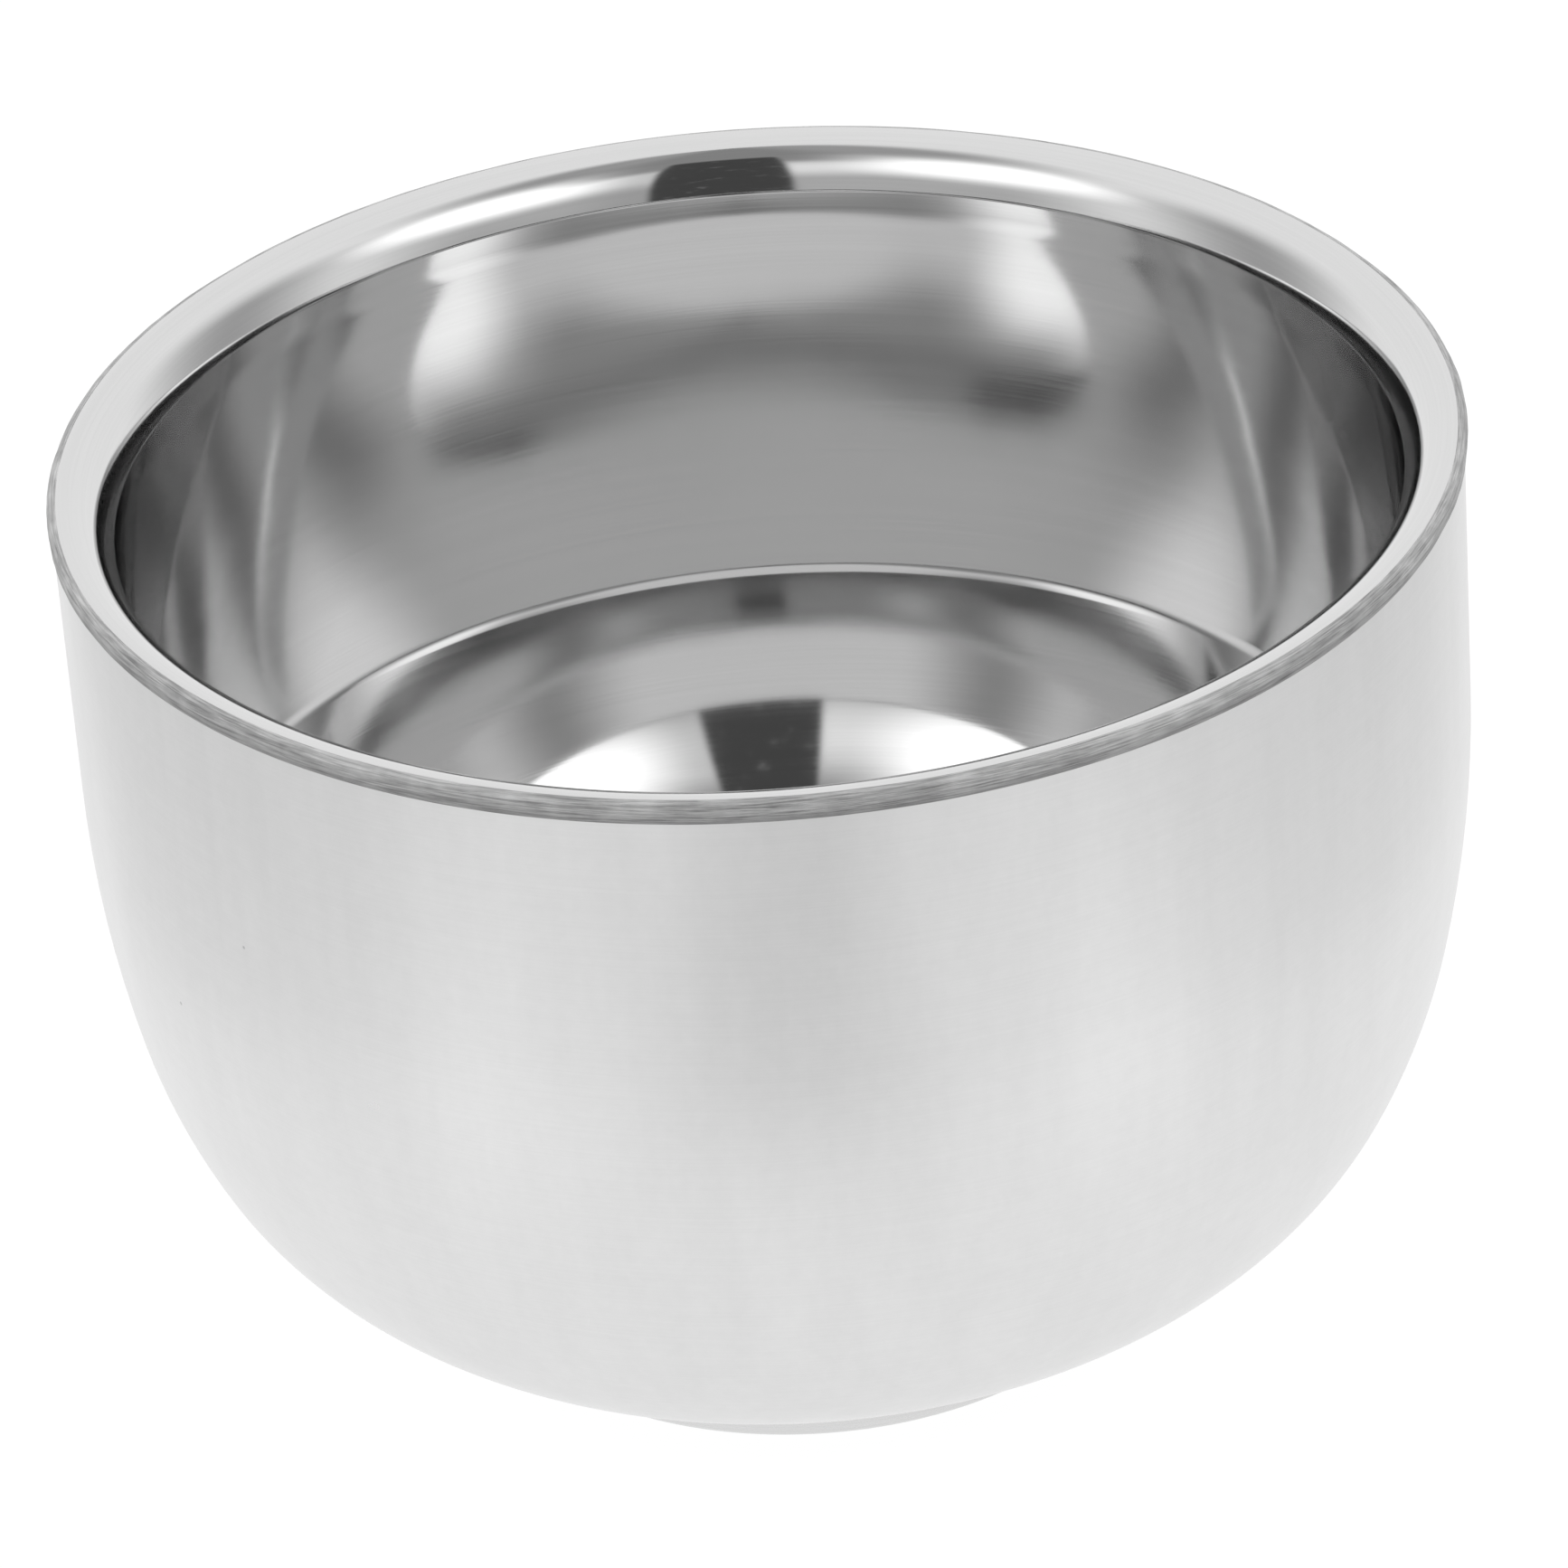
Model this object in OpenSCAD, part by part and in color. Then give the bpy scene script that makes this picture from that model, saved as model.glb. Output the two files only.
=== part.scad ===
/* [Bowl] */
// Diameter over the rim
bowl_d = 100; // [84:1:116]
// Height from the resting face to the top of the rim
bowl_h = 68; // [62:0.5:84]
// Thickness of the drawn sheet
sheet = 0.5; // [0.4:0.05:0.6]

/* [Rim] */
// Bend radius of the rolled rim's top
roll_r = 3.6; // [3:0.1:4]
// Height of the ground band around the rim
band_h = 1.64; // [1.3:0.02:2]
// How far the ground band stands out past the body
lip = 0.28; // [0.1:0.02:0.4]

/* [Foot] */
// Diameter of the foot
foot_d = 50.2; // [44:0.1:54]
// Height of the foot below the flat of the body
foot_h = 3.3; // [2.6:0.1:4.5]
// Width of the foot's hollow ring
ring_w = 3; // [2.6:0.1:4]
// Bend radius at the foot's two lower edges
ring_r = 0.8; // [0.6:0.05:1]

/* [Inside] */
// Height of the air gap between the two floors
floor_gap = 1.5; // [1:0.1:3]
// Diameter of the vent hole in the outer floor
vent_d = 1.6; // [1.2:0.1:2.4]
// Diameter of a spot weld
spot_d = 3; // [2:0.1:4]
// Number of spot welds that hold the foot
spots = 3; // [3:1:6]

/* [Hidden] */

curve_k = min(bowl_d / 100, bowl_h / 68);  // the curves of both walls follow the bowl's size
arc_steps = 10;                 // straight steps that stand for one bend of a profile
bead_w = 0.7;                   // width of the weld's rounded top
bead_h = 0.55;                  // drop from the crown to the weld's widest part
band_foot = 0.3;                // height of the slope under the ground band
crown_x = bowl_d / 2 - bead_w;  // radius of the rim's crown, where the inner sheet ends in the weld
body_x = bowl_d / 2 - lip;      // outer radius of the straight wall
body_top = bowl_h - band_h;     // the outer sheet's cut edge, under the ground band
outer_floor_z = foot_h;
inner_floor_z = foot_h + sheet + floor_gap + sheet;
foot_x = foot_d / 2;
spot_circle = 11;               // radius of the circle that the spot welds lie on
plug_head_d = 1.8 * vent_d;
plug_head_h = 0.35;

// Bends of the rolled rim and of the two drawn walls, from the top down: [radius, degrees]
rim_bends = [[roll_r, 55.5], [6, 18.5], [0.7, 21.5], [1.4, 0], [19, -4.1]];
inner_bends = [[150, 6], [5, 12.6], [53, 9.4], [31, 35], [36, 28.4]];
outer_bends = [[88, 12], [42, 14], [23.5, 34], [38, 30]];

// ---- Profiles: a path of straight runs and bends, drawn from a start point and a heading ----
// A step is [length, 0] for a straight run, or [radius, degrees] for a bend; left turns are positive.
// side moves the whole path to its left, so the same steps give both faces of a sheet.

function left_of(p, heading, d) = [p[0] - d * sin(heading), p[1] + d * cos(heading)];

function bend(p, heading, r, turn, side) =
    let (c = left_of(p, heading, r * sign(turn)), rs = r - side * sign(turn))
    [for (i = [1:arc_steps]) let (h = heading + turn * i / arc_steps)
        left_of(c, h, -rs * sign(turn))];

function path(p, heading, steps, side, i = 0) =
    i == len(steps) ? [] :
    let (s = steps[i], straight = s[1] == 0,
         q = straight ? [p[0] + s[0] * cos(heading), p[1] + s[0] * sin(heading)]
                      : left_of(left_of(p, heading, s[0] * sign(s[1])),
                                heading + s[1], -s[0] * sign(s[1])))
    concat(straight ? [left_of(q, heading, side)] : bend(p, heading, s[0], s[1], side),
           path(q, heading + s[1], steps, side, i + 1));

function full_path(p, heading, steps, side) =
    concat([left_of(p, heading, side)], path(p, heading, steps, side));

function reversed(list) = [for (i = [len(list) - 1:-1:0]) list[i]];
function end(p, heading, steps) = reversed(full_path(p, heading, steps, 0))[0];
function turn_of(steps, i = 0) = i == len(steps) ? 0 : steps[i][1] + turn_of(steps, i + 1);
function to_right(bends, k = 1) = [for (b = bends) [b[0] * k, -b[1]]];

// Steps of a straight wall, its bends, and the flat floor that closes it on the axis.
function wall_and_floor(p, heading, bends, floor_z) =
    let (bent = end([0, 0], heading, bends),
         wall = (floor_z - p[1] - bent[1]) / sin(heading))
    concat([[wall, 0]], bends, [[p[0] + wall * cos(heading) + bent[0], 0]]);

// A turned sheet: the steps draw its visible face, and the metal lies on the given side of it.
module turned_sheet(p, heading, steps, thickness) {
    rotate_extrude($fn = 180)
        polygon(concat(full_path(p, heading, steps, 0),
                       reversed(full_path(p, heading, steps, thickness))));
}

// ---- The two shells and the weld between them ----

module inner_shell() {
    crown = [crown_x, bowl_h];
    color([0.60, 0.60, 0.61])
        turned_sheet(crown, 180,
                     concat(rim_bends,
                            wall_and_floor(end(crown, 180, rim_bends), 180 + turn_of(rim_bends),
                                           to_right(inner_bends, curve_k), inner_floor_z)),
                     sheet);
}

module outer_shell() {
    edge = [body_x, body_top];
    color([0.86, 0.86, 0.87])
        difference() {
            turned_sheet(edge, -90,
                         wall_and_floor(edge, -90, to_right(outer_bends, curve_k), outer_floor_z),
                         -sheet);
            translate([0, 0, outer_floor_z - 1])
                cylinder(d = vent_d, h = sheet + 2, $fn = 48);
            spot_places(outer_floor_z - 1, sheet + 2);
        }
}

// The seam that joins the edges of the two shells, ground round.
module rim_weld() {
    back_x = body_x - sheet;
    widest_z = bowl_h - bead_h;
    bead_turn = 100;            // from the crown, past the widest part
    color([0.72, 0.72, 0.72])
        rotate_extrude($fn = 180)
            polygon([
                [crown_x, bowl_h],
                for (i = [1:arc_steps]) let (a = 90 - bead_turn * i / arc_steps)
                    [crown_x + bead_w * cos(a), widest_z + bead_h * sin(a)],
                [body_x + lip * 0.8, body_top + band_foot],
                [body_x, body_top],
                [back_x, body_top],
                [back_x, bowl_h - sheet],
                [crown_x, bowl_h - sheet]
            ]);
}

// ---- The foot, its spot welds and the plug under it ----

// Spot welds go through the foot's disc and the body's floor.
module spot_places(z, h) {
    for (i = [0:spots - 1])
        rotate([0, 0, 90 + 360 * i / spots])
            translate([spot_circle, 0, z])
                cylinder(d = spot_d, h = h, $fn = 48);
}

// Height of the body's underside over the inner face of the foot's outer wall.
function foot_top() =
    let (r = outer_bends[3][0] * curve_k,
         flat_x = body_x + end([0, 0], -90, to_right(outer_bends, curve_k))[0],
         x = foot_x - sheet - flat_x)
    outer_floor_z + r - sqrt(r * r - x * x);

module foot_ring() {
    disc_z = foot_h - sheet;
    rim_z = foot_top();
    color([0.80, 0.80, 0.81])
        difference() {
            turned_sheet([foot_x, rim_z], -90,
                         [[rim_z - ring_r, 0], [ring_r, -90], [ring_w - 2 * ring_r, 0],
                          [ring_r, -90], [disc_z - 2 * ring_r, 0], [ring_r, 90],
                          [foot_x - ring_w - ring_r, 0]], -sheet);
            spot_places(-1, foot_h + 2);
        }
}

module foot_spot_welds() {
    color([0.66, 0.66, 0.67])
        spot_places(foot_h - sheet, 2 * sheet);
}

// Stands in the vent hole, with its head inside, over the hole's edge.
module vent_plug() {
    color([0.55, 0.55, 0.56])
        translate([0, 0, outer_floor_z]) {
            cylinder(d = vent_d, h = sheet, $fn = 48);
            translate([0, 0, sheet])
                cylinder(d = plug_head_d, h = plug_head_h, $fn = 48);
        }
}

inner_shell();
outer_shell();
rim_weld();
foot_ring();
foot_spot_welds();
vent_plug();
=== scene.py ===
"""Shaving bowl: a double-walled steel bowl, bright inside and satin outside, in a pale studio."""
import math

import bmesh
import bpy
from mathutils import Matrix, Quaternion, Vector, noise


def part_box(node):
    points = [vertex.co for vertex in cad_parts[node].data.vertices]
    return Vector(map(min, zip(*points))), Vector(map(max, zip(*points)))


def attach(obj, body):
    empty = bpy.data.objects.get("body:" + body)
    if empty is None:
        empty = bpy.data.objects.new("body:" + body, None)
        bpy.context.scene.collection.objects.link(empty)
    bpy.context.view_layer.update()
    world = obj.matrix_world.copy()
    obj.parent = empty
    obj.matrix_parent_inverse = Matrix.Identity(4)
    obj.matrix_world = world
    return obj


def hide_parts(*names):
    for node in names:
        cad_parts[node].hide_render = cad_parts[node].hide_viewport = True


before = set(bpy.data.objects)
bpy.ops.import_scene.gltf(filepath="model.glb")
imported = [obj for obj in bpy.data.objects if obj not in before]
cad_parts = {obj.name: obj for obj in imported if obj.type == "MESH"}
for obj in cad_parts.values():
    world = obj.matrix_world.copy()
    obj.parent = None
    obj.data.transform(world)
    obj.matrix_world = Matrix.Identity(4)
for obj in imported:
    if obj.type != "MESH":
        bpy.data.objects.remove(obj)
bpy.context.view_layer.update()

MM = 0.001

# ---------------------------------------------------------------------------
# Sizes: the boxes of the CAD nodes, and the bends of the sheets as in the CAD
# ---------------------------------------------------------------------------

inner_low, inner_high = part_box("inner_shell")
outer_low, outer_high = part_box("outer_shell")

SHEET = 0.5 * MM
TOP_Z = inner_high.z              # top of the rim
CROWN_R = inner_high.y            # the rim's crown, where the inner sheet ends in the weld
RIM_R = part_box("rim_weld")[1].y   # the ground band, the widest part
BODY_R = outer_high.y             # the body's straight wall
BODY_TOP = outer_high.z           # cut edge of the outer sheet, under the ground band
BODY_FLOOR = outer_low.z          # underside of the body's flat
INNER_FLOOR = inner_low.z + SHEET
FOOT_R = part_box("foot_ring")[1].y
VENT_R = 0.8 * MM

# Steps of the profiles, from the top down: (radius, degrees) is a bend, and (length, 0) a straight run
RIM_BENDS = [(3.6 * MM, 55.5), (6 * MM, 18.5), (0.7 * MM, 21.5), (1.4 * MM, 0.0), (19 * MM, -4.1)]
INNER_BENDS = [(150 * MM, 6.0), (5 * MM, 12.6), (53 * MM, 9.4), (31 * MM, 35.0), (36 * MM, 28.4)]
OUTER_BENDS = [(88 * MM, 12.0), (42 * MM, 14.0), (23.5 * MM, 34.0), (38 * MM, 30.0)]
FOOT_BEND = 0.8 * MM              # radius of the foot's bends
FOOT_WIDTH = 3.0 * MM             # width of the foot's hollow ring

BEAD_H = 0.55 * MM                # drop from the crown to the seam's widest part
BEAD_TURN = 100                   # degrees of the seam's round top, from the crown past its widest part
BEAD_STEPS = 24
SLOPE_H = 0.3 * MM                # height of the slope under the ground band
SLOPE_LIP = 0.8                   # how much of the band's lip the slope's top stands out
SLOPE_STEPS = 5
SEAM_EDGE = 0.1 * MM              # the seam stays even this near to the two sheets
SEAM_GROUND = 0.03 * MM           # what grinding takes off the seam nearly everywhere

SPOT_CIRCLE = 11 * MM             # radius of the circle that the spot welds lie on
SPOT_R = 1.5 * MM
SPOT_TOP = 0.04 * MM              # how far a spot weld stands up inside the body
SPOT_CHAMFER = 0.1 * MM
SPOTS = 3
# A spot weld's dent and its ring, from the middle out: (part of SPOT_R, height over the disc's underside)
SPOT_MARK = [(0.0, -0.03 * MM), (0.55, -0.035 * MM), (0.72, -0.07 * MM), (0.8, -0.13 * MM),
             (0.87, -0.16 * MM), (0.93, -0.13 * MM), (0.98, -0.05 * MM), (1.0, 0.02 * MM)]

AROUND = 720                      # segments of a turned piece
AROUND_SEAM = 1440
AROUND_SPOT = 96
BEND_STEP = 1.6                   # degrees of a bend between two profile points
RUN_STEP = 1.5 * MM               # longest straight step of a profile
ON_AXIS = 1e-7                    # a point with a smaller radius is on the axis
SHARP = 28                        # edges that turn by more degrees than this are sharp


# ---------------------------------------------------------------------------
# Turned shapes
# ---------------------------------------------------------------------------

def left_of(point, heading, distance):
    h = math.radians(heading)
    return (point[0] - distance * math.sin(h), point[1] + distance * math.cos(h))


def walk(point, heading, steps, side=0.0):
    """Points of a path of straight runs (length, 0) and bends (radius, degrees).

    Left turns are positive, and side moves the whole path to its left.
    """
    points = [left_of(point, heading, side)]
    for size, degrees in steps:
        if degrees == 0:
            count = max(1, math.ceil(size / RUN_STEP))
            h = math.radians(heading)
            for i in range(1, count + 1):
                along = size * i / count
                on_path = (point[0] + along * math.cos(h), point[1] + along * math.sin(h))
                points.append(left_of(on_path, heading, side))
            point = (point[0] + size * math.cos(h), point[1] + size * math.sin(h))
        else:
            sign = math.copysign(1, degrees)
            centre = left_of(point, heading, size * sign)
            count = max(3, math.ceil(abs(degrees) / BEND_STEP))
            for i in range(1, count + 1):
                turned = heading + degrees * i / count
                points.append(left_of(centre, turned, -(size * sign - side)))
            point = left_of(centre, heading + degrees, -size * sign)
            heading += degrees
    return points


def to_right(bends):
    return [(radius, -degrees) for radius, degrees in bends]


def wall_and_floor(start, heading, bends, floor_z, floor_end=0.0):
    """Steps of a straight wall, its bends and a flat floor that ends floor_end from the axis."""
    across, down = walk((0, 0), heading, bends)[-1]
    h = math.radians(heading)
    wall = (floor_z - start[1] - down) / math.sin(h)
    floor = start[0] + wall * math.cos(h) + across - floor_end
    return [(wall, 0)] + bends + [(floor, 0)]


def to_axis(points):
    """The same points, with the last one exactly on the axis."""
    return points[:-1] + [(0.0, points[-1][1])]


def turned_mesh(name, outline, around=AROUND, relief=None):
    """Turns a closed outline of (radius, height) points round the Z axis.

    relief(angle, radius, height) is how far a point moves outward.
    The UV map holds the turn from 0 to 1, and the run along the outline in metres.
    """
    count = len(outline)
    runs = [0.0]
    for i in range(1, count):
        runs.append(runs[-1] + math.dist(outline[i], outline[i - 1]))
    runs.append(runs[-1] + math.dist(outline[-1], outline[0]))

    vertices, first = [], []
    for r, z in outline:
        first.append(len(vertices))
        if r < ON_AXIS:
            vertices.append((0.0, 0.0, z))
            continue
        for k in range(around):
            angle = 2 * math.pi * k / around
            moved = r + (relief(angle, r, z) if relief else 0.0)
            vertices.append((moved * math.cos(angle), moved * math.sin(angle), z))

    faces, uvs = [], []
    for i in range(count):
        j = (i + 1) % count
        low, high = runs[i], runs[i + 1]
        pole_i, pole_j = outline[i][0] < ON_AXIS, outline[j][0] < ON_AXIS
        if pole_i and pole_j:
            continue
        for k in range(around):
            n = (k + 1) % around
            u0, u1 = k / around, (k + 1) / around
            if pole_i:
                faces.append((first[i], first[j] + n, first[j] + k))
                uvs.append(((u0, low), (u1, high), (u0, high)))
            elif pole_j:
                faces.append((first[i] + k, first[i] + n, first[j]))
                uvs.append(((u0, low), (u1, low), (u0, high)))
            else:
                faces.append((first[i] + k, first[i] + n, first[j] + n, first[j] + k))
                uvs.append(((u0, low), (u1, low), (u1, high), (u0, high)))

    mesh = bpy.data.meshes.new(name)
    mesh.from_pydata(vertices, [], faces)
    layer = mesh.uv_layers.new(name="lathe")
    layer.data.foreach_set("uv", [value for face in uvs for uv in face for value in uv])
    mesh.shade_smooth()
    piece = bpy.data.objects.new(name, mesh)
    bpy.context.scene.collection.objects.link(piece)
    return piece


def sharpen(piece):
    piece.data.set_sharp_from_angle(angle=math.radians(SHARP))


def wave(angle, height, size, depth, seed):
    """A slow unevenness of hand-finished metal: size is its length in metres, and depth its amplitude."""
    at = Vector((math.cos(angle) * BODY_R, math.sin(angle) * BODY_R, height)) / size
    return depth * noise.noise(at + Vector((seed, 0, 0)))


# ---------------------------------------------------------------------------
# Pieces
# ---------------------------------------------------------------------------

def make_inner_shell():
    crown = (CROWN_R, TOP_Z)
    heading = 180 + sum(degrees for _, degrees in RIM_BENDS)
    under_rim = walk(crown, 180, RIM_BENDS)[-1]
    steps = RIM_BENDS + wall_and_floor(under_rim, heading, to_right(INNER_BENDS), INNER_FLOOR)
    face = to_axis(walk(crown, 180, steps))
    back = to_axis(walk(crown, 180, steps, side=SHEET))

    def relief(angle, r, z):
        return wave(angle, z, size=11 * MM, depth=0.009 * MM, seed=1)

    return turned_mesh("bowl_inner", face + back[::-1], relief=relief)


def make_outer_shell():
    edge = (BODY_R, BODY_TOP)
    steps = wall_and_floor(edge, -90, to_right(OUTER_BENDS), BODY_FLOOR, floor_end=VENT_R)
    face = walk(edge, -90, steps)
    back = walk(edge, -90, steps, side=-SHEET)

    def relief(angle, r, z):
        return wave(angle, z, size=18 * MM, depth=0.012 * MM, seed=7)

    return turned_mesh("bowl_outer", back + face[::-1], relief=relief)


def make_rim_seam():
    """The weld round the rim, ground by hand to a narrow round band."""
    bead = RIM_R - CROWN_R
    outline = [(BODY_R - SHEET, TOP_Z - SHEET), (CROWN_R, TOP_Z - SHEET)]
    for i in range(BEAD_STEPS + 1):
        a = math.radians(90 - BEAD_TURN * i / BEAD_STEPS)
        outline.append((CROWN_R + bead * math.cos(a), TOP_Z - BEAD_H + BEAD_H * math.sin(a)))
    last_r, last_z = outline[-1]
    slope_r = BODY_R + (RIM_R - BODY_R) * SLOPE_LIP
    slope_z = BODY_TOP + SLOPE_H
    for i in range(1, SLOPE_STEPS + 1):
        t = i / SLOPE_STEPS
        outline.append((last_r + (slope_r - last_r) * t, last_z + (slope_z - last_z) * t))
    outline += [(BODY_R, BODY_TOP), (BODY_R - SHEET, BODY_TOP)]

    def relief(angle, r, z):
        if r < CROWN_R + SEAM_EDGE or z < BODY_TOP + SEAM_EDGE:
            return 0.0
        flats = wave(angle, 0, size=5 * MM, depth=0.05 * MM, seed=3)
        dents = wave(angle, z, size=1.2 * MM, depth=0.02 * MM, seed=5)
        return min(0.0, flats + dents - SEAM_GROUND)

    return turned_mesh("rim_seam", outline[::-1], around=AROUND_SEAM, relief=relief)


def make_foot():
    """A pressed sheet: a hollow ring round a disc that lies under the body's flat."""
    under_body_r = OUTER_BENDS[-1][0]
    flat_r = BODY_R + walk((0, 0), -90, to_right(OUTER_BENDS))[-1][0]
    past_flat = FOOT_R - SHEET - flat_r
    top = BODY_FLOOR + under_body_r - math.sqrt(under_body_r ** 2 - past_flat ** 2)
    disc = BODY_FLOOR - SHEET
    steps = [(top - FOOT_BEND, 0), (FOOT_BEND, -90), (FOOT_WIDTH - 2 * FOOT_BEND, 0), (FOOT_BEND, -90),
             (disc - 2 * FOOT_BEND, 0), (FOOT_BEND, 90), (FOOT_R - FOOT_WIDTH - FOOT_BEND, 0)]
    face = to_axis(walk((FOOT_R, top), -90, steps))
    back = to_axis(walk((FOOT_R, top), -90, steps, side=-SHEET))
    return turned_mesh("foot", back + face[::-1])


def make_spot_marks():
    """Three spot welds through the foot's disc: each a shallow dent in a low raised ring."""
    under = BODY_FLOOR - SHEET
    top = BODY_FLOOR + SHEET + SPOT_TOP
    head = [(0.0, top), (0.8 * SPOT_R, top), (SPOT_R, top - SPOT_CHAMFER)]
    mark = [(part * SPOT_R, under + height) for part, height in SPOT_MARK]
    one = turned_mesh("spot_marks", head + mark[::-1], around=AROUND_SPOT)
    mesh = bmesh.new()
    mesh.from_mesh(one.data)
    nugget = mesh.verts[:] + mesh.edges[:] + mesh.faces[:]
    bmesh.ops.translate(mesh, verts=mesh.verts, vec=(0, SPOT_CIRCLE, 0))
    for turns in range(1, SPOTS):
        copy = bmesh.ops.duplicate(mesh, geom=nugget)["geom"]
        corners = [part for part in copy if isinstance(part, bmesh.types.BMVert)]
        turn = Matrix.Rotation(math.radians(360 / SPOTS * turns), 3, "Z")
        bmesh.ops.rotate(mesh, verts=corners, matrix=turn)
    mesh.to_mesh(one.data)
    mesh.free()
    return one


inner = make_inner_shell()
outer = make_outer_shell()
seam = make_rim_seam()
foot = make_foot()
marks = make_spot_marks()
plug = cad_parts["vent_plug"]
for piece in (inner, outer, seam, foot, marks):
    sharpen(piece)
    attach(piece, "root")

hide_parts("inner_shell")
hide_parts("outer_shell")
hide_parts("rim_weld")
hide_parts("foot_ring")
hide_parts("foot_spot_welds")


# ---------------------------------------------------------------------------
# Shader nodes
# ---------------------------------------------------------------------------

class Graph:
    """Short calls that add shader nodes and return their output sockets."""

    def __init__(self, tree):
        self.tree = tree

    def node(self, kind, inputs=None, **settings):
        made = self.tree.nodes.new("ShaderNode" + kind)
        for key, value in settings.items():
            setattr(made, key, value)
        for key, value in (inputs or {}).items():
            if isinstance(value, bpy.types.NodeSocket):
                self.tree.links.new(value, made.inputs[key])
            else:
                made.inputs[key].default_value = value
        return made

    def link(self, output, socket):
        self.tree.links.new(output, socket)

    def place(self):
        return self.node("TexCoord").outputs["Object"]

    def split(self, vector):
        return self.node("SeparateXYZ", {0: vector}).outputs

    def scaled(self, vector, factors):
        return self.node("VectorMath", {0: vector, 1: factors}, operation="MULTIPLY").outputs["Vector"]

    def moved(self, vector, offset):
        return self.node("VectorMath", {0: vector, 1: offset}, operation="ADD").outputs["Vector"]

    def maths(self, operation, *values):
        return self.node("Math", dict(enumerate(values)), operation=operation).outputs[0]

    def add(self, total, *others):
        for value in others:
            total = self.maths("ADD", total, value)
        return total

    def times(self, value, factor):
        return self.maths("MULTIPLY", value, factor)

    def hypotenuse(self, a, b):
        return self.maths("SQRT", self.add(self.times(a, a), self.times(b, b)))

    def remap(self, value, low, high, to_low=0.0, to_high=1.0, smooth=False):
        made = self.node("MapRange", {"Value": value, "From Min": low, "From Max": high,
                                      "To Min": to_low, "To Max": to_high})
        made.interpolation_type = "SMOOTHSTEP" if smooth else "LINEAR"
        return made.outputs["Result"]

    def rise(self, value, start, end):
        """0 up to start, and 1 from end on."""
        return self.remap(value, start, end, smooth=True)

    def fall(self, value, start, end):
        """1 up to start, and 0 from end on."""
        return self.remap(value, start, end, 1.0, 0.0, smooth=True)

    def band(self, value, low, high, soft):
        """1 between low and high, falling to 0 over soft on either side."""
        up = self.rise(value, low - soft, low + soft)
        down = self.fall(value, high - soft, high + soft)
        return self.times(up, down)

    def blend(self, base, other, amount):
        """base where amount is 0, and other where it is 1."""
        return self.add(base, self.times(self.maths("SUBTRACT", other, base), amount))

    def oval(self, x, y, centre, radii):
        """0 in the middle of an ellipse, 1 on its edge and more outside it."""
        across = self.maths("DIVIDE", self.maths("SUBTRACT", x, centre[0]), radii[0])
        along = self.maths("DIVIDE", self.maths("SUBTRACT", y, centre[1]), radii[1])
        return self.hypotenuse(across, along)

    def noise(self, vector, scale=1.0, detail=2.0, roughness=0.5):
        settings = {"Vector": vector, "Scale": scale, "Detail": detail, "Roughness": roughness}
        return self.node("TexNoise", settings).outputs[0]

    def vary(self, noise_value, low, high):
        """From low to high, as a noise goes through the range that holds nearly all its values."""
        return self.remap(noise_value, 0.3, 0.7, low, high)

    def grey(self, value):
        return self.node("CombineColor", {"Red": value, "Green": value, "Blue": value}).outputs[0]

    def mix(self, amount, colour, other):
        """One colour where amount is 0, and the other where it is 1."""
        return self.node("Mix", {0: amount, 6: colour, 7: other}, data_type="RGBA").outputs[2]


# ---------------------------------------------------------------------------
# Materials
# ---------------------------------------------------------------------------

def metal(name):
    """A new metal: its material, its graph of nodes, and its shader."""
    material = bpy.data.materials.new(name)
    material.use_nodes = True
    tree = material.node_tree
    shader = tree.nodes["Principled BSDF"]
    shader.inputs["Metallic"].default_value = 1.0
    return material, Graph(tree), shader


def surface(g, shader, colour, roughness, height, strength, depth):
    """Gives a shader its colour and roughness, and bumps up to depth high where height is 1."""
    bump = g.node("Bump", {"Height": height, "Strength": strength, "Distance": depth})
    g.link(colour, shader.inputs["Base Color"])
    g.link(roughness, shader.inputs["Roughness"])
    g.link(bump.outputs[0], shader.inputs["Normal"])


def lathe_coordinates(g, place):
    """Object x and y with the run along the profile, which have no seam anywhere, and the run alone."""
    x, y, _ = g.split(place)
    run = g.split(g.node("UVMap", uv_map="lathe").outputs[0])[1]
    return g.node("CombineXYZ", {0: x, 1: y, 2: run}).outputs[0], run


def turned_tangent(g, shader, amount):
    """Brushing lines run round the axis, so the shine spreads across them, a quarter turn away."""
    tangent = g.node("Tangent", direction_type="RADIAL", axis="Z").outputs[0]
    g.link(tangent, shader.inputs["Tangent"])
    shader.inputs["Anisotropic"].default_value = amount
    shader.inputs["Anisotropic Rotation"].default_value = 0.25


def brushing(g, lathe, around, across, detail=3.0):
    """Lines round the axis: slow change around, quick change across."""
    return g.noise(g.scaled(lathe, (around, around, across)), detail=detail)


def polished_steel():
    """A mirror with a very faint round grain and a little haze."""
    material, g, shader = metal("polished_steel")
    place = g.place()
    lathe, _ = lathe_coordinates(g, place)
    fine = brushing(g, lathe, 40, 6500)
    broad = brushing(g, lathe, 20, 900, detail=2.0)
    haze = g.noise(place, scale=70, detail=4)
    tone = g.add(g.vary(fine, -0.012, 0.012), g.vary(broad, -0.008, 0.008), 0.68)
    rough = g.add(g.remap(haze, 0.35, 0.7, 0.05, 0.075), g.vary(fine, 0.0, 0.02))
    surface(g, shader, g.grey(tone), rough, fine, strength=0.02, depth=0.02 * MM)
    turned_tangent(g, shader, 0.45)
    return material


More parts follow.
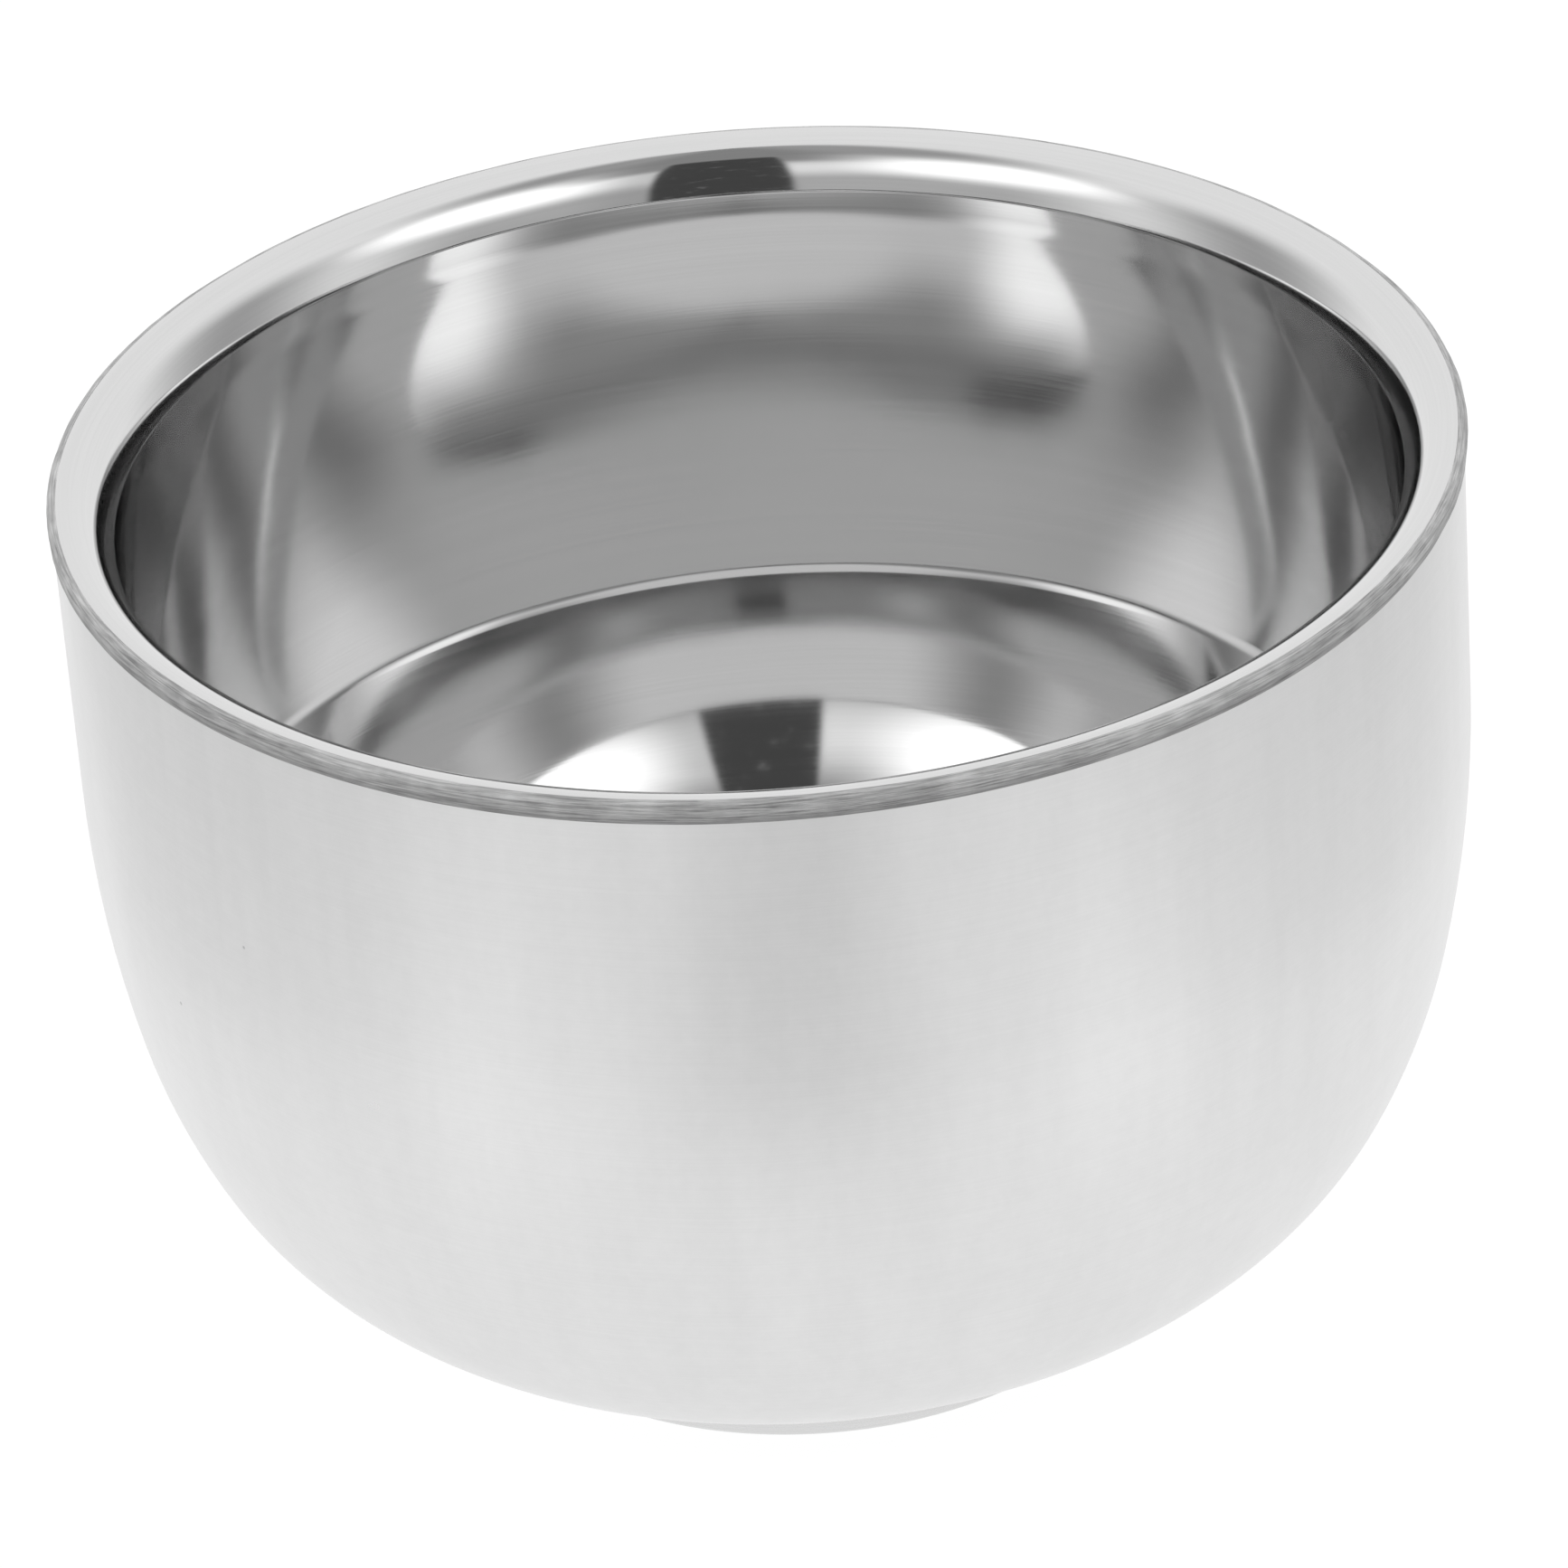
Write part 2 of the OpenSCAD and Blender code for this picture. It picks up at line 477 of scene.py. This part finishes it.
def satin_steel():
    """Brushed round the body, with clouds, a fine mottle, upright streaks and a few dark pits."""
    material, g, shader = metal("satin_steel")
    place = g.place()
    lathe, _ = lathe_coordinates(g, place)
    fine = brushing(g, lathe, 55, 8000)
    cloud = g.noise(place, scale=60, detail=5, roughness=0.65)
    mottle = g.noise(place, scale=900, detail=4, roughness=0.7)
    upright = g.noise(g.scaled(place, (300, 300, 28)), detail=4, roughness=0.6)
    tone = g.add(g.vary(cloud, -0.014, 0.014), g.vary(fine, -0.009, 0.009),
                 g.vary(mottle, -0.01, 0.01), g.vary(upright, -0.014, 0.014))
    pits = g.node("TexVoronoi", {"Vector": place, "Scale": 190.0, "Randomness": 1.0})
    draw = g.node("SeparateColor", {0: pits.outputs["Color"]}).outputs[0]
    one_in_ten = g.maths("GREATER_THAN", draw, 0.9)
    pit = g.times(one_in_ten, g.remap(pits.outputs["Distance"], 0.02, 0.035, 1.0, 0.0))
    tone = g.add(g.maths("SUBTRACT", tone, g.times(pit, 0.25)), 0.72)
    surface(g, shader, g.grey(tone), g.vary(cloud, 0.27, 0.34), fine, strength=0.06, depth=0.03 * MM)
    turned_tangent(g, shader, 0.5)
    return material


def slanting_lines(g, lathe, run, twist, around, seed):
    """Scratches that climb as they go round: twist is their slant, and around how short they are."""
    slanted = g.node("VectorRotate", {"Vector": lathe, "Angle": g.times(run, twist)}, rotation_type="Z_AXIS")
    return g.noise(g.moved(g.scaled(slanted.outputs[0], (around, around, 9000)), (seed, 0, 0)), detail=4)


def ground_weld():
    """Two crossing sets of grinding scratches on patchy steel, with painted light and shade: darker low
    down, lighter near the top.
    """
    material, g, shader = metal("ground_weld")
    place = g.place()
    lathe, run = lathe_coordinates(g, place)
    long_lines = slanting_lines(g, lathe, run, twist=9.0, around=260, seed=0)
    short_lines = slanting_lines(g, lathe, run, twist=-26.0, around=420, seed=3)
    cut = g.remap(g.add(long_lines, g.times(short_lines, 0.6)), 0.6, 1.0)
    patch = g.noise(place, scale=420, detail=3)
    height = g.split(place)[2]
    # painted light and shade: the band is painted darker low down and lighter near its top, as the light
    # falls on it
    painted_shading = g.remap(height, TOP_Z - 1.6 * MM, TOP_Z - 0.2 * MM, 0.72, 1.25, smooth=True)
    tone = g.add(g.remap(cut, 0, 1, 0.24, 0.5), g.vary(patch, -0.06, 0.06))
    rough = g.remap(cut, 0, 1, 0.34, 0.5)
    surface(g, shader, g.grey(g.times(tone, painted_shading)), rough, cut, strength=0.6, depth=0.06 * MM)
    return material


def away_from_spots(g, place):
    """Distance from the middle of the nearest spot weld, seen from below."""
    x, y, _ = g.split(place)
    from_spot = g.maths("SUBTRACT", g.maths("ARCTAN2", y, x), math.radians(90))
    angle = g.maths("PINGPONG", from_spot, math.pi / SPOTS)
    radius = g.hypotenuse(x, y)
    outward = g.maths("SUBTRACT", g.times(radius, g.maths("COSINE", angle)), SPOT_CIRCLE)
    sideways = g.times(radius, g.maths("SINE", angle))
    return g.hypotenuse(outward, sideways)


def pressed_steel():
    """Turned lines, and a straw-coloured heat tint round the spot welds."""
    material, g, shader = metal("pressed_steel")
    place = g.place()
    lathe, _ = lathe_coordinates(g, place)
    fine = brushing(g, lathe, 60, 6000)
    heat = g.fall(away_from_spots(g, place), SPOT_R, 2.6 * SPOT_R)
    steel = g.grey(g.vary(fine, 0.66, 0.72))
    colour = g.mix(g.times(heat, 0.5), steel, (0.60, 0.53, 0.44, 1))
    surface(g, shader, colour, g.vary(fine, 0.22, 0.32), fine, strength=0.15, depth=0.03 * MM)
    turned_tangent(g, shader, 0.5)
    return material


def spot_weld():
    """Grainy steel, stained in patches by the heat."""
    material, g, shader = metal("spot_weld")
    place = g.place()
    grain = g.noise(place, scale=2600, detail=4)
    stain = g.noise(place, scale=900, detail=3)
    colour = g.mix(g.remap(stain, 0.35, 0.65), (0.56, 0.55, 0.54, 1), (0.50, 0.45, 0.39, 1))
    surface(g, shader, colour, g.vary(grain, 0.35, 0.5), grain, strength=0.4, depth=0.04 * MM)
    return material


def plug_steel():
    """Plain bright steel with a fine grain."""
    material, g, shader = metal("plug_steel")
    grain = g.noise(g.place(), scale=3000, detail=3)
    colour = g.grey(g.vary(grain, 0.52, 0.58))
    surface(g, shader, colour, g.vary(grain, 0.25, 0.35), grain, strength=0.2, depth=0.03 * MM)
    return material


def paint(piece, material):
    piece.data.materials.clear()
    piece.data.materials.append(material)


paint(inner, polished_steel())
paint(outer, satin_steel())
paint(seam, ground_weld())
paint(foot, pressed_steel())
paint(marks, spot_weld())
paint(plug, plug_steel())


# ---------------------------------------------------------------------------
# Studio: pale floor, a light tent with two soft lamps, and the opening where the camera stands
# ---------------------------------------------------------------------------

TENT = 1.03                       # brightness of the light tent
FRONT_TOP = 0.42                  # its front, over the lamps
FRONT_LOW = 0.55                  # its front, under the lamps
SIDE_LOW = 0.45                   # its sides, low down
LAMP = 0.8                        # what a lamp adds at its middle
LAMP_PLACE = (50.0, 38.0)         # degrees from the camera's side to a lamp's middle, and up to it
LAMP_RADII = (32.0, 21.0)         # degrees from its middle to its sides, and to its top
STAND = 0.3                       # brightness of the grey stand round the opening
STAND_BESIDE = 0.4                # how far the stand covers the tent beside the opening
STAND_ABOVE = 0.9                 # and above it
OPENING = 0.075                   # brightness of the dark opening
OPENING_SIDES = (-10, 15.5)       # degrees from the camera's side to its left and right edges
OPENING_TOP = (59, 63)            # degrees up to where it starts to fade, and to where it ends
GLINT = 0.16                      # what a glint in the opening adds

FLOOR_SIZE = 4.0                  # half its width
FLOOR_DROP = 0.02 * MM            # the foot stands this far over it, so that their faces don't meet
FLOOR_GLOW = 0.95                 # brightness of the floor under the bowl
FLOOR_FAR = 0.72                  # and well to the left and right of it
# Patches of painted shade before the bowl and painted light beside it: their middle, their radii, and what
# they add to its brightness
FLOOR_SHADE_AND_LIGHT = [((0, -200 * MM), (300 * MM, 130 * MM), -0.17),
                 ((0, -170 * MM), (60 * MM, 90 * MM), -0.22),
                 ((75 * MM, -85 * MM), (45 * MM, 40 * MM), 0.15),
                 ((-75 * MM, -85 * MM), (45 * MM, 40 * MM), 0.15)]

CAMERA_LENS = 195.2               # focal length in millimetres
CAMERA_SENSOR = 36                # width in millimetres
CAMERA_TARGET = Vector((0.3 * MM, 0, 39.8 * MM))
CAMERA_AWAY = 612 * MM            # from the target
CAMERA_UP = 30.55                 # degrees over the horizon
CAMERA_ROLL = -4.12               # degrees


def make_world():
    """Brightness by direction, in degrees: azimuth from the camera's side, elevation from the horizon."""
    world = bpy.data.worlds.new("studio")
    world.use_nodes = True
    bpy.context.scene.world = world
    g = Graph(world.node_tree)
    direction = g.node("TexCoord").outputs["Generated"]
    x, y, z = g.split(direction)
    azimuth = g.maths("DEGREES", g.maths("ARCTAN2", x, g.times(y, -1.0)))
    aside = g.maths("ABSOLUTE", azimuth)
    elevation = g.maths("DEGREES", g.maths("ARCSINE", z))

    front_top = g.times(g.fall(aside, 62, 112), g.rise(elevation, 47, 68))
    tent = g.blend(TENT, FRONT_TOP, front_top)
    side_low = g.times(g.band(aside, 82, 118, soft=18), g.fall(elevation, 25, 52))
    tent = g.blend(tent, SIDE_LOW, side_low)
    front_low = g.times(g.fall(aside, 45, 80), g.fall(elevation, 20, 36))
    tent = g.blend(tent, FRONT_LOW, front_low)

    from_lamp = g.oval(aside, elevation, LAMP_PLACE, LAMP_RADII)
    tent = g.add(tent, g.remap(from_lamp, 0.25, 1.1, LAMP, 0.0, smooth=True))

    beside = g.times(g.band(azimuth, 12, 24, soft=9), STAND_BESIDE)
    above = g.times(g.band(azimuth, -25, 32, soft=13),
                    g.remap(elevation, 38, 54, 0.0, STAND_ABOVE, smooth=True))
    tent = g.blend(tent, STAND, g.maths("MAXIMUM", beside, above))

    opening = g.times(g.band(azimuth, *OPENING_SIDES, soft=1.0), g.fall(elevation, *OPENING_TOP))
    glints = g.noise(g.scaled(direction, (1, 1, 0.6)), scale=16, detail=5, roughness=0.7)
    dark = g.remap(glints, 0.58, 0.7, OPENING, OPENING + GLINT, smooth=True)
    tent = g.blend(tent, dark, opening)
    g.link(g.grey(tent), world.node_tree.nodes["Background"].inputs["Color"])


def floor_glow(g):
    """Brightness of the floor: even under the bowl, with patches of painted shade before it and painted
    light beside it.
    """
    x, y, _ = g.split(g.place())
    glow = g.remap(g.maths("ABSOLUTE", x), 80 * MM, 150 * MM, FLOOR_GLOW, FLOOR_FAR, smooth=True)
    # painted shade (the patches that take brightness away) and painted pools of light (those that add it)
    for centre, radii, added in FLOOR_SHADE_AND_LIGHT:
        patch = g.fall(g.oval(x, y, centre, radii), 0.1, 1.0)
        glow = g.add(glow, g.times(patch, added))
    return glow


def make_floor():
    """A pale floor that glows by itself, and that can't be seen from below."""
    corners = [(-1, -1), (1, -1), (1, 1), (-1, 1)]
    mesh = bpy.data.meshes.new("floor")
    mesh.from_pydata([(x * FLOOR_SIZE, y * FLOOR_SIZE, -FLOOR_DROP) for x, y in corners], [], [(0, 1, 2, 3)])
    floor = bpy.data.objects.new("floor", mesh)
    bpy.context.scene.collection.objects.link(floor)
    material = bpy.data.materials.new("pale_floor")
    material.use_nodes = True
    g = Graph(material.node_tree)
    shader = material.node_tree.nodes["Principled BSDF"]
    shader.inputs["Base Color"].default_value = (0.1, 0.1, 0.1, 1)
    shader.inputs["Roughness"].default_value = 0.9
    shader.inputs["Specular IOR Level"].default_value = 0.0
    shader.inputs["Emission Color"].default_value = (1, 1, 1, 1)
    g.link(floor_glow(g), shader.inputs["Emission Strength"])
    below = g.node("NewGeometry").outputs["Backfacing"]
    clear = g.node("BsdfTransparent").outputs[0]
    one_sided = g.node("MixShader", {0: below, 1: shader.outputs[0], 2: clear})
    g.link(one_sided.outputs[0], material.node_tree.nodes["Material Output"].inputs["Surface"])
    mesh.materials.append(material)


def make_camera():
    data = bpy.data.cameras.new("camera")
    data.sensor_width = CAMERA_SENSOR
    data.lens = CAMERA_LENS
    data.clip_start, data.clip_end = 0.01, 20
    camera = bpy.data.objects.new("camera", data)
    bpy.context.scene.collection.objects.link(camera)
    up = math.radians(CAMERA_UP)
    back = Vector((0, -math.cos(up), math.sin(up)))
    camera.location = CAMERA_TARGET + back * CAMERA_AWAY
    camera.rotation_mode = "QUATERNION"
    roll = Quaternion((0, 0, 1), math.radians(CAMERA_ROLL))
    camera.rotation_quaternion = back.to_track_quat("Z", "Y") @ roll
    bpy.context.scene.camera = camera


make_world()
make_floor()
make_camera()
bpy.context.scene.view_settings.view_transform = "Standard"
# The bowl's inside reflects itself many times
bpy.context.scene.cycles.glossy_bounces = 12
bpy.context.scene.cycles.max_bounces = 16
